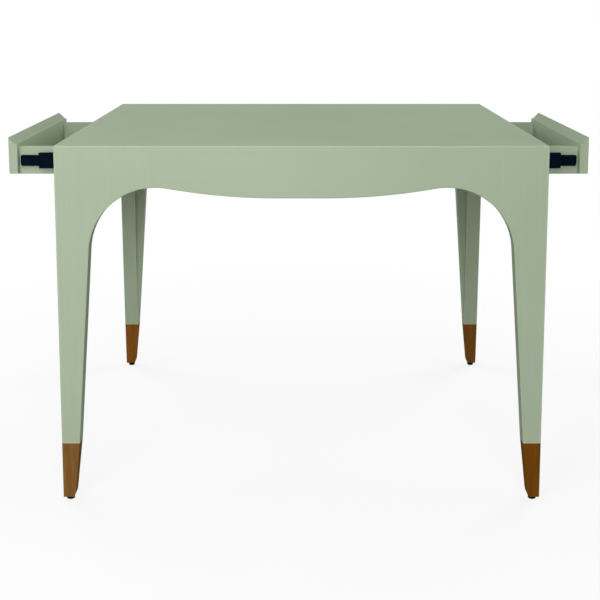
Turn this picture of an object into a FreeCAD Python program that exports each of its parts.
import FreeCAD, Part
import math
import os

# Square games table with a drawer in its left side and one in its right side, both part open.
# Millimetres. The origin is on the floor under the table's centre: +X right, +Y away from the
# viewer, +Z up. Most pieces are drawn once, in the front right corner, and mirrored from there.

V = FreeCAD.Vector

# Overall size
table_side = 1016.0             # plan size, the same both ways
table_height = 762.0
edge_ease = 2.0                 # rounding of the painted arrises

# Table top
top_thickness = 19.0
top_edge = 4.0                  # upright part of the top's edge, above its mitred underside

# Apron and knee outline
knee_width = 208.0              # corner of the table to the crest, where leg and apron meet
crest_drop = 87.0               # table surface down to the crest
belly_drop = 109.0              # table surface down to the middle of the apron's lower edge
belly_flat = 100.0              # straight middle stretch of that edge
knee_radius = 141.0
apron_thickness = 25.0

# Legs, feet and glides
leg_board = 38.0                # thickness, and width at the toe
foot_height = 127.0             # floor to the joint between leg and foot tip
foot_toe = 27.5                 # side of the foot where its inner faces start to round under
foot_sole = 22.5                # side of the foot's underside
foot_round_height = 14.5
glide_height = 7.5
glide_diameter = 17.0
glide_inset = 13.5              # middle of a glide from the foot's outer faces
glide_ease = 2.5
glide_nail_diameter = 3.0
glide_nail_length = 20.0

# Drawers, with how far each one and its slides' middle members stand out at rest
drawer_out = {"left": 140.0, "right": 128.0}
middle_out = {"left": 98.0, "right": 91.0}
drawer_gap = 1.5                # each end of a drawer front to the leg beside it
drawer_top_gap = 2.0            # mitred top of a drawer front down from the table top
drawer_front_thickness = 19.0
drawer_front_overhang = 24.5    # end of the front past the box side
drawer_board = 13.0             # box sides and inner end
drawer_box_height = 62.0
drawer_headroom = 9.5           # box up to the underside of the top
drawer_box_spare = 10.0         # box longer than its slides
drawer_ease = 1.5               # rounding of the box's upper edges
bottom_thickness = 6.0
bottom_rise = 8.0               # box's lower edge up to the bottom panel
groove_depth = 6.0
groove_clearance = 0.25

# Telescopic slides: sheet channels nested in each other, with rows of balls between them
slide_length = 400.0
slide_thickness = 12.7
slide_height = 45.7             # cabinet member
slide_sheet = 1.2
bend_ratio = 2.5                # outer radius of a bend, in thicknesses of the sheet
member_end_round = 2.0          # corners of a member's and a cage's ends, seen from the side
runner_end_round = 6.0          # the same on the blunt ends of the drawer member
slide_setback = 2.0             # front end behind the back of the drawer front
slide_lip_gap = 2.0             # channel lips to the drawer box
race_gap = 4.15                 # between two nested channels, filled by a ball
ball_clearance = 0.3
running_gap = 0.25              # between nested webs and the cage that runs between them
cage_sheet = 0.5
cage_length = 180.0
cage_rim = 1.0                  # cage beyond its balls
cage_hole_clearance = 0.15
ball_count = 8                  # in a row
slide_screw_insets = (37.0, 197.0, 357.0)
slide_screw_length = 11.0
slide_screw_diameter = 3.5
slide_screw_head = 6.5
fixing_slot_length = 9.0        # spare fixing holes between the screws
fixing_slot_width = 4.5
access_slot_length = 24.0       # holes in the middle member, which let a screwdriver in
access_slot_width = 12.0

# Runner rails, divider and blocks under the top
rail_thickness = 25.0
rail_margin = 3.0               # rail below the slide it carries
divider_thickness = 20.0
corner_block_side = 36.0
corner_block_chamfer = 8.0
rail_block_side = 30.0
block_height = 40.0
block_screw_drops = (12.0, 28.0)  # down from the underside of the top
block_screw_inset = 9.0         # from the boards that the block ties
top_screw_inset = 22.0
frame_screw_length = 50.0
frame_screw_diameter = 4.5
frame_screw_head = 9.0

# Dowels
apron_dowel_diameter = 10.0
apron_dowel_length = 60.0
apron_dowel_rises = (22.0, 50.0)  # above the crest
foot_dowel_diameter = 12.0
foot_dowel_length = 60.0
drawer_dowel_diameter = 6.0
drawer_dowel_length = 24.0
drawer_dowel_drops = (12.0, 36.0)  # below the box's upper edge
fit_clearance = 0.1             # dowels, nails and screws in their holes

# Derived places
half = table_side / 2
top_under = table_height - top_thickness
mitre_top = table_height - top_edge
leg_inside = half - leg_board
crest_half = half - knee_width
crest_z = table_height - crest_drop
knee_z = crest_z - knee_radius
belly_z = table_height - belly_drop
apron_inside = half - apron_thickness
front_inside = half - drawer_front_thickness
front_half = crest_half - drawer_gap
box_half = front_half - drawer_front_overhang
box_inside = box_half - drawer_board
box_top = top_under - drawer_headroom
box_bottom = box_top - drawer_box_height
bottom_z = box_bottom + bottom_rise
slide_front = front_inside - slide_setback
slide_back = slide_front - slide_length
box_back = slide_back - drawer_box_spare
slide_z = (box_top + box_bottom) / 2
rail_face = box_half + slide_thickness
rail_outside = rail_face + rail_thickness
rail_bottom = slide_z - slide_height / 2 - rail_margin

# Derived slide section: u runs from the rail to the drawer box, heights are over the lips
middle_height = slide_height - 2 * (slide_sheet + race_gap)
drawer_member_height = middle_height - 2 * (slide_sheet + race_gap)
outer_cage_u = slide_sheet + running_gap
middle_u = outer_cage_u + cage_sheet + running_gap
inner_cage_u = middle_u + slide_sheet + running_gap
drawer_lip_u = inner_cage_u + cage_sheet + running_gap
drawer_web_u = slide_thickness - slide_sheet
lip_u = slide_thickness - slide_lip_gap
ball_diameter = race_gap - 2 * ball_clearance
ball_u = (drawer_lip_u + lip_u) / 2
cage_lip_u = ball_u + ball_diameter / 2 + cage_rim
slide_travel = slide_length / 2
cage_front = slide_front - (slide_travel - cage_length) / 2 - slide_travel / 2

SIDES = {"left": -1, "right": 1}
ROWS = {"front": -1, "back": 1}


def box(low, high):
    """A rectangular block between two corners."""
    size = V(*high) - V(*low)
    return Part.makeBox(size.x, size.y, size.z, V(*low))


def face_of(edges):
    return Part.Face(Part.Wire(Part.__sortEdges__(edges)))


def polygon_prism(points, direction):
    return Part.Face(Part.makePolygon(points + points[:1])).extrude(direction)


def mirrored(shape, side, row):
    """A piece of the front right corner, taken to the corner that the two signs name."""
    if side < 0:
        shape = shape.mirror(V(0, 0, 0), V(1, 0, 0))
    if row > 0:
        shape = shape.mirror(V(0, 0, 0), V(0, 1, 0))
    return shape


def moved(shape, x):
    shape = shape.copy()
    shape.translate(V(x, 0, 0))
    return shape


def screw(head, direction, length, diameter, head_diameter, clearance=0.0):
    """A countersunk screw whose flat head lies at a point; with a clearance it is its hole."""
    shank = diameter / 2 + clearance
    rim = head_diameter / 2 + clearance
    end = length + clearance
    outline = [V(0, 0, 0), V(rim, 0, 0), V(shank, 0, rim - shank), V(shank, 0, end - shank), V(0, 0, end)]
    solid = Part.Face(Part.makePolygon(outline + outline[:1])).revolve(V(0, 0, 0), V(0, 0, 1), 360)
    solid.Placement = FreeCAD.Placement(V(*head), FreeCAD.Rotation(V(0, 0, 1), V(*direction)))
    return solid


def frame_screw(head, direction, clearance=0.0):
    return screw(head, direction, frame_screw_length, frame_screw_diameter, frame_screw_head, clearance)


def slide_screw(head, direction, clearance=0.0):
    return screw(head, direction, slide_screw_length, slide_screw_diameter, slide_screw_head, clearance)


def dowel(middle, direction, diameter, length, clearance=0.0):
    reach = length / 2 + clearance
    start = V(*middle) - V(*direction) * reach
    return Part.makeCylinder(diameter / 2 + clearance, 2 * reach, start, V(*direction))


# Table top, and the rounded block that eases every outer arris of the painted body

def top_blank():
    """Square panel with a thin upright edge and a mitred underside all round."""
    mitre_inside = half - (mitre_top - top_under)
    right = [(mitre_inside, top_under), (half, mitre_top), (half, table_height)]
    section = right + [(-x, z) for x, z in reversed(right)]
    along_y = polygon_prism([V(x, -half, z) for x, z in section], V(0, table_side, 0))
    along_x = polygon_prism([V(-half, y, z) for y, z in section], V(table_side, 0, 0))
    return along_y.common(along_x)


def rounded_body():
    block = box((-half, -half, 0), (half, half, table_height))
    arrises = [edge for edge in block.Edges if edge.BoundBox.ZMax > table_height / 2]
    return block.makeFillet(edge_ease, arrises)


top_solid = top_blank()
body_block = rounded_body()


# Apron, drawer fronts and leg boards share one lower outline, drawn in the front face

def on_knee(angle):
    return V(crest_half + knee_radius * math.cos(angle), -half, knee_z + knee_radius * math.sin(angle))


def apron_edges(end):
    """Lower edge and ends of an apron that reaches to both sides as far as end."""
    rise = belly_z - knee_z
    start = belly_flat / 2
    span = crest_half - start
    belly_radius = (span ** 2 + rise ** 2 - knee_radius ** 2) / (2 * (knee_radius - rise))
    turn = math.atan2(rise + belly_radius, -span)
    tip_angle = math.acos((end - crest_half) / knee_radius)
    lean = (turn - math.pi / 2) / 2
    sag = belly_radius * (1 - math.cos(lean))
    belly_mid = V(start + belly_radius * math.sin(lean), -half, belly_z + sag)
    belly_tip = V(start, -half, belly_z)
    shoulder = V(end, -half, mitre_top)
    edges = [Part.makeLine(shoulder, on_knee(tip_angle))]
    edges.append(Part.Arc(on_knee(tip_angle), on_knee((tip_angle + turn) / 2), on_knee(turn)).toShape())
    edges.append(Part.Arc(on_knee(turn), belly_mid, belly_tip).toShape())
    edges += [edge.mirror(V(0, 0, 0), V(1, 0, 0)) for edge in edges]
    edges.append(Part.makeLine(belly_tip, V(-start, -half, belly_z)))
    edges.append(Part.makeLine(shoulder, V(-end, -half, mitre_top)))
    return edges


def eased_below(board, height, radius):
    """Round the arrises that lie in the front face and reach no higher than a height."""
    low = []
    for edge in board.Edges:
        bound = edge.BoundBox
        in_face = bound.YMax < -half + radius / 2
        inside = bound.XMax < half - radius and bound.ZMin > foot_height - radius
        if in_face and inside and bound.ZMin < height - radius / 2 and bound.ZMax < height + radius / 2:
            low.append(edge)
    return board.makeFillet(radius, low)


def apron():
    board = face_of(apron_edges(crest_half)).extrude(V(0, apron_thickness, 0))
    return eased_below(board, crest_z, edge_ease).cut(top_solid)


def drawer_front():
    """An apron-shaped front with a running gap all round, turned to the table's right side."""
    board = face_of(apron_edges(front_half)).extrude(V(0, drawer_front_thickness, 0))
    board = eased_below(board, mitre_top, edge_ease)
    lowered = top_solid.copy()
    lowered.translate(V(0, 0, -drawer_top_gap))
    board = board.cut(lowered)
    board.rotate(V(0, 0, 0), V(0, 0, 1), 90)
    return board


def leg_face_board():
    """Front board of the front right leg: knee and tapering shin, mitred at the corner."""
    toe = V(leg_inside, -half, foot_height)
    reach = math.hypot(toe.x - crest_half, toe.z - knee_z)
    lean = math.atan2(toe.z - knee_z, toe.x - crest_half) + math.acos(knee_radius / reach)
    crest = on_knee(math.pi / 2)
    corners = [
        crest,
        V(crest_half, -half, mitre_top),
        V(half, -half, mitre_top),
        V(half, -half, foot_height),
        toe,
        on_knee(lean),
    ]
    edges = Part.makePolygon(corners).Edges
    edges.append(Part.Arc(on_knee(lean), on_knee((lean + math.pi / 2) / 2), crest).toShape())
    board = face_of(edges).extrude(V(0, leg_board, 0))
    board = eased_below(board, crest_z, edge_ease)
    wedge = polygon_prism([V(0, 0, 0), V(-half, -half, 0), V(half, -half, 0)], V(0, 0, table_height))
    return board.common(wedge).cut(top_solid).common(body_block)


def foot_prism():
    """Foot of the front right leg in side view: plumb outside, tapered and rounded inside."""
    neck = V(leg_inside, -half, foot_height)
    bend = V(half - foot_toe, -half, glide_height + foot_round_height)
    sole = V(half - foot_sole, -half, glide_height)
    taper = (bend - neck).normalize()
    chord = sole - bend
    outward = V(-taper.z, 0, taper.x)
    radius = chord.dot(chord) / (2 * outward.dot(chord))
    middle = bend + outward * radius
    on_arc = middle + ((bend - middle) + (sole - middle)).normalize() * radius
    corners = [bend, neck, V(half, -half, foot_height), V(half, -half, glide_height), sole]
    edges = Part.makePolygon(corners).Edges
    edges.append(Part.Arc(bend, on_arc, sole).toShape())
    return face_of(edges).extrude(V(0, leg_board, 0))


def foot():
    """Foot tip of the front right leg, the same seen from the front and from the side."""
    prism = foot_prism()
    block = prism.common(prism.mirror(V(0, 0, 0), V(1, 1, 0)))
    upright = [edge for edge in block.Edges if edge.BoundBox.ZLength > foot_round_height / 2]
    return block.makeFillet(edge_ease, upright)


def glide():
    """Nail-on glide under the middle of the foot's underside."""
    middle = half - glide_inset
    pad = Part.makeCylinder(glide_diameter / 2, glide_height, V(middle, -middle, 0))
    rims = [edge for edge in pad.Edges if edge.BoundBox.ZMax < glide_ease / 2]
    pad = pad.makeFillet(glide_ease, rims)
    return pad.fuse(glide_nail()).removeSplitter()


def glide_nail(clearance=0.0):
    middle = half - glide_inset
    root = V(middle, -middle, glide_height - clearance)
    return Part.makeCylinder(glide_nail_diameter / 2 + clearance, glide_nail_length + 2 * clearance, root)


# Rails, divider and blocks under the top

def runner_rail():
    """Front rail that carries one slide of each drawer, rebated round the side boards."""
    rail = box((-slide_front, -rail_outside, rail_bottom), (slide_front, -rail_face, top_under))
    for side in SIDES.values():
        board = box((leg_inside, -half, 0), (half, -crest_half, table_height))
        rail = rail.cut(mirrored(board, side, ROWS["front"]))
    return rail


def centre_divider():
    reach = divider_thickness / 2
    return box((-reach, -rail_face, rail_bottom), (reach, rail_face, top_under))


def corner_block():
    inner = leg_inside - corner_block_side
    low = top_under - block_height
    cut = inner + corner_block_chamfer
    outer = leg_inside
    corners = [(inner, outer), (outer, outer), (outer, inner), (cut, inner), (inner, cut)]
    return polygon_prism([V(x, -y, low) for x, y in corners], V(0, 0, block_height))


def rail_block():
    low = (leg_inside - rail_block_side, -rail_outside - rail_block_side, top_under - block_height)
    return box(low, (leg_inside, -rail_outside, top_under))


def corner_block_screws(clearance=0.0):
    """One screw into the side board and one into the face board."""
    near = leg_inside - block_screw_inset
    entry = leg_inside - corner_block_side
    upper, lower = (top_under - drop for drop in block_screw_drops)
    into_side = frame_screw((entry, -near, upper), (1, 0, 0), clearance)
    into_face = frame_screw((near, -entry, lower), (0, -1, 0), clearance)
    return [into_side, into_face]


def rail_block_screws(clearance=0.0):
    """One screw into the side board and one into the rail."""
    near_board = leg_inside - block_screw_inset
    near_rail = rail_outside + block_screw_inset
    upper, lower = (top_under - drop for drop in block_screw_drops)
    into_side = frame_screw((leg_inside - rail_block_side, -near_rail, upper), (1, 0, 0), clearance)
    into_rail = frame_screw((near_board, -rail_outside - rail_block_side, lower), (0, 1, 0), clearance)
    return [into_side, into_rail]


def divider_screws(clearance=0.0):
    levels = [top_under - drop for drop in block_screw_drops]
    return [frame_screw((0, -rail_outside, z), (0, 1, 0), clearance) for z in levels]


def top_screw(clearance=0.0):
    place = leg_inside - top_screw_inset
    return frame_screw((place, -place, top_under - block_height), (0, 0, 1), clearance)


def apron_dowels(clearance=0.0):
    y = -(half + apron_inside) / 2
    levels = [crest_z + rise for rise in apron_dowel_rises]
    size = (apron_dowel_diameter, apron_dowel_length, clearance)
    return [dowel((crest_half, y, z), (1, 0, 0), *size) for z in levels]


def foot_dowel(clearance=0.0):
    middle = half - leg_board / 2
    size = (foot_dowel_diameter, foot_dowel_length, clearance)
    return dowel((middle, -middle, foot_height), (0, 0, 1), *size)


# Drawer boxes, drawn closed in the right side of the table

def drawer_side():
    side = box((box_back, -box_half, box_bottom), (front_inside, -box_inside, box_top))
    upper = [edge for edge in side.Edges if edge.BoundBox.ZMin > box_top - drawer_ease
             and edge.BoundBox.XLength > drawer_board]
    return side.makeFillet(drawer_ease, upper)


def drawer_end():
    end = box((box_back, -box_inside, box_bottom), (box_back + drawer_board, box_inside, box_top))
    upper = [edge for edge in end.Edges if edge.BoundBox.ZMin > box_top - drawer_ease
             and edge.BoundBox.YLength > drawer_board]
    return end.makeFillet(drawer_ease, upper)


def drawer_bottom(clearance=0.0):
    """Panel let into grooves on all four sides; with a clearance it cuts those grooves."""
    reach = box_inside + groove_depth - groove_clearance + clearance
    back = box_back + drawer_board - groove_depth + groove_clearance - clearance
    front = front_inside + groove_depth - groove_clearance + clearance
    low = (back, -reach, bottom_z - clearance)
    return box(low, (front, reach, bottom_z + bottom_thickness + clearance))


def front_dowels(clearance=0.0):
    """Dowels from the front box side into the drawer front."""
    y = -(box_half + box_inside) / 2
    size = (drawer_dowel_diameter, drawer_dowel_length, clearance)
    return [dowel((front_inside, y, box_top - drop), (1, 0, 0), *size) for drop in drawer_dowel_drops]


def end_dowels(clearance=0.0):
    """Dowels from the front box side into the inner end board."""
    x = box_back + drawer_board / 2
    y = -box_inside - drawer_board / 2 + drawer_dowel_length / 2
    size = (drawer_dowel_diameter, drawer_dowel_length, clearance)
    return [dowel((x, y, box_top - drop), (0, 1, 0), *size) for drop in drawer_dowel_drops]


# Slides, drawn closed on the front rail of the right drawer

def bent_block(back, front, web_face, lip, reach, radius):
    """A block along a slide, rounded where its web side turns into its upper and lower sides."""
    depth = sorted((-rail_face + web_face, -rail_face + lip))
    block = box((back, depth[0], slide_z - reach), (front, depth[1], slide_z + reach))
    bends = []
    for edge in block.Edges:
        bound = edge.BoundBox
        if bound.XLength > (front - back) / 2 and abs(bound.YMin + rail_face - web_face) < radius / 2:
            bends.append(edge)
    return block.makeFillet(radius, bends)


def channel(height, sheet, web_u, lip, front, length, end_round=member_end_round):
    """A bent sheet channel: its web starts at web_u, its lips end at lip on either side of it."""
    outer_face, inner_face = (web_u, web_u + sheet) if lip > web_u else (web_u + sheet, web_u)
    reach = height / 2
    back = front - length
    bend = bend_ratio * sheet
    blank = bent_block(back, front, outer_face, lip, reach, bend)
    hollow = bent_block(back, front, inner_face, lip, reach - sheet, bend - sheet)
    outline = box((back, -rail_face, slide_z - reach), (front, -box_half, slide_z + reach))
    corners = [edge for edge in outline.Edges if edge.BoundBox.YLength > slide_thickness / 2]
    return blank.cut(hollow).common(outline.makeFillet(end_round, corners))


def slide_screw_places():
    return [slide_front - inset for inset in slide_screw_insets]


def web_slots(length, width):
    """Oblong cuts through a slide, one midway between each two screws."""
    reach = (length - width) / 2
    places = slide_screw_places()
    cuts = []
    for front, back in zip(places, places[1:]):
        middle = (front + back) / 2
        low = (middle - reach, -rail_face, slide_z - width / 2)
        cuts.append(box(low, (middle + reach, -box_half, slide_z + width / 2)))
        for end in (middle - reach, middle + reach):
            centre = V(end, -rail_face, slide_z)
            cuts.append(Part.makeCylinder(width / 2, slide_thickness, centre, V(0, 1, 0)))
    return cuts


def cabinet_screws(clearance=0.0):
    y = -rail_face + slide_sheet
    return [slide_screw((x, y, slide_z), (0, -1, 0), clearance) for x in slide_screw_places()]


def drawer_member_screws(clearance=0.0):
    y = -rail_face + drawer_web_u
    return [slide_screw((x, y, slide_z), (0, 1, 0), clearance) for x in slide_screw_places()]


def cabinet_member():
    member = channel(slide_height, slide_sheet, 0.0, lip_u, slide_front, slide_length)
    return member.cut(web_slots(fixing_slot_length, fixing_slot_width) + cabinet_screws(fit_clearance))


def middle_member():
    member = channel(middle_height, slide_sheet, middle_u, lip_u, slide_front, slide_length)
    return member.cut(web_slots(access_slot_length, access_slot_width))


def drawer_member():
    size = (slide_front, slide_length, runner_end_round)
    member = channel(drawer_member_height, slide_sheet, drawer_web_u, drawer_lip_u, *size)
    return member.cut(web_slots(fixing_slot_length, fixing_slot_width) + drawer_member_screws(fit_clearance))


def ball_cage(inner_height, web_u):
    """A thin cage round the channel of the given height, and the two rows of balls in it."""
    level = (inner_height + race_gap) / 2
    cage = channel(2 * level + cage_sheet, cage_sheet, web_u, cage_lip_u, cage_front, cage_length)
    pitch = cage_length / ball_count
    balls = []
    pockets = []
    for index in range(ball_count):
        x = cage_front - pitch * (index + 0.5)
        for z in (slide_z - level, slide_z + level):
            middle = V(x, -rail_face + ball_u, z)
            balls.append(Part.makeSphere(ball_diameter / 2, middle))
            low = middle - V(0, 0, race_gap / 2)
            pockets.append(Part.makeCylinder(ball_diameter / 2 + cage_hole_clearance, race_gap, low))
    return [cage.cut(pockets)] + balls


# Assembly: every node is a list of solids

nodes = {}


def corner_pieces():
    """The four legs with their feet, glides, blocks, dowels and screws."""
    boards = {"face": leg_face_board()}
    boards["side"] = boards["face"].mirror(V(0, 0, 0), V(1, 1, 0))
    sunk = corner_block_screws(fit_clearance)
    toe_hole = foot_dowel(fit_clearance)
    boards["face"] = boards["face"].cut(sunk + apron_dowels(fit_clearance) + [toe_hole])
    boards["side"] = boards["side"].cut(sunk + rail_block_screws(fit_clearance) + [toe_hole])
    tip = foot().cut([toe_hole, glide_nail(fit_clearance)])
    block = corner_block().cut(sunk + [top_screw(fit_clearance)])
    tie = rail_block().cut(rail_block_screws(fit_clearance))
    shared = {
        "glides": [glide()],
        "rail_blocks": [tie],
        "foot_dowels": [foot_dowel()],
        "apron_dowels": apron_dowels(),
        "block_screws": corner_block_screws() + rail_block_screws(),
        "top_screws": [top_screw()],
    }
    for row_name, row in ROWS.items():
        for side_name, side in SIDES.items():
            corner = row_name + "_" + side_name
            nodes[corner + "_leg_face_board"] = [mirrored(boards["face"], side, row)]
            nodes[corner + "_leg_side_board"] = [mirrored(boards["side"], side, row)]
            nodes[corner + "_foot"] = [mirrored(tip, side, row)]
            nodes[corner + "_corner_block"] = [mirrored(block, side, row)]
            for name, solids in shared.items():
                nodes.setdefault(name, []).extend(mirrored(solid, side, row) for solid in solids)


def frame_pieces():
    """Top, aprons, rails and divider."""
    corners = [(side, row) for side in SIDES.values() for row in ROWS.values()]
    top_holes = [mirrored(top_screw(fit_clearance), side, row) for side, row in corners]
    nodes["table_top"] = [top_solid.cut(top_holes).common(body_block)]
    front = ROWS["front"]
    both = SIDES.values()
    apron_holes = [mirrored(hole, side, front) for hole in apron_dowels(fit_clearance) for side in both]
    rail_holes = [mirrored(hole, side, front) for hole in rail_block_screws(fit_clearance) for side in both]
    rail_holes += [mirrored(hole, side, front) for hole in cabinet_screws(fit_clearance) for side in both]
    rail_holes += divider_screws(fit_clearance)
    board = apron().cut(apron_holes)
    rail = runner_rail().cut(rail_holes)
    for row_name, row in ROWS.items():
        nodes[row_name + "_apron"] = [mirrored(board, 1, row)]
        nodes[row_name + "_runner_rail"] = [mirrored(rail, 1, row)]
        nodes.setdefault("divider_screws", []).extend(mirrored(one, 1, row) for one in divider_screws())
    end_holes = divider_screws(fit_clearance)
    divider_holes = [mirrored(hole, 1, row) for hole in end_holes for row in ROWS.values()]
    nodes["centre_divider"] = [centre_divider().cut(divider_holes)]


def drawer_pieces():
    """Both drawers with their slides, each set out as far as it stands at rest."""
    groove = drawer_bottom(groove_clearance)
    rows = ROWS.values()
    front_holes = [mirrored(hole, 1, row) for hole in front_dowels(fit_clearance) for row in rows]
    end_holes = [mirrored(hole, 1, row) for hole in end_dowels(fit_clearance) for row in rows]
    front = drawer_front().cut([groove] + front_holes)
    end = drawer_end().cut([groove] + end_holes)
    side_holes = front_dowels(fit_clearance) + end_dowels(fit_clearance)
    side_holes += drawer_member_screws(fit_clearance)
    box_side = drawer_side().cut([groove] + side_holes)
    cabinet = cabinet_member()
    runner = drawer_member()
    middle = middle_member()
    outer_cage = ball_cage(middle_height, outer_cage_u)
    inner_cage = ball_cage(drawer_member_height, inner_cage_u)
    for side_name, side in SIDES.items():
        out = side * drawer_out[side_name]
        middle_shift = side * middle_out[side_name]
        inner_cage_shift = (out + middle_shift) / 2
        drawer = side_name + "_drawer"
        nodes[drawer + "_front"] = [moved(mirrored(front, side, -1), out)]
        nodes[drawer + "_inner_end"] = [moved(mirrored(end, side, -1), out)]
        nodes[drawer + "_bottom"] = [moved(mirrored(drawer_bottom(), side, -1), out)]
        for row_name, row in ROWS.items():
            slide = side_name + "_" + row_name
            nodes[slide + "_box_side"] = [moved(mirrored(box_side, side, row), out)]
            nodes[slide + "_cabinet_member"] = [mirrored(cabinet, side, row)]
            nodes[slide + "_middle_member"] = [moved(mirrored(middle, side, row), middle_shift)]
            nodes[slide + "_drawer_member"] = [moved(mirrored(runner, side, row), out)]
            shared = {
                drawer + "_dowels": (front_dowels() + end_dowels(), out),
                drawer + "_slide_screws": (drawer_member_screws(), out),
                "cabinet_slide_screws": (cabinet_screws(), 0.0),
                side_name + "_outer_ball_cages": (outer_cage, middle_shift / 2),
                side_name + "_inner_ball_cages": (inner_cage, inner_cage_shift),
            }
            for name, (solids, shift) in shared.items():
                nodes.setdefault(name, []).extend(moved(mirrored(one, side, row), shift) for one in solids)


corner_pieces()
frame_pieces()
drawer_pieces()

os.makedirs("parts", exist_ok=True)
for name, solids in nodes.items():
    Part.makeCompound(solids).exportStep("parts/" + name + ".step")
print(len(nodes), "nodes,", sum(len(solids) for solids in nodes.values()), "solids")
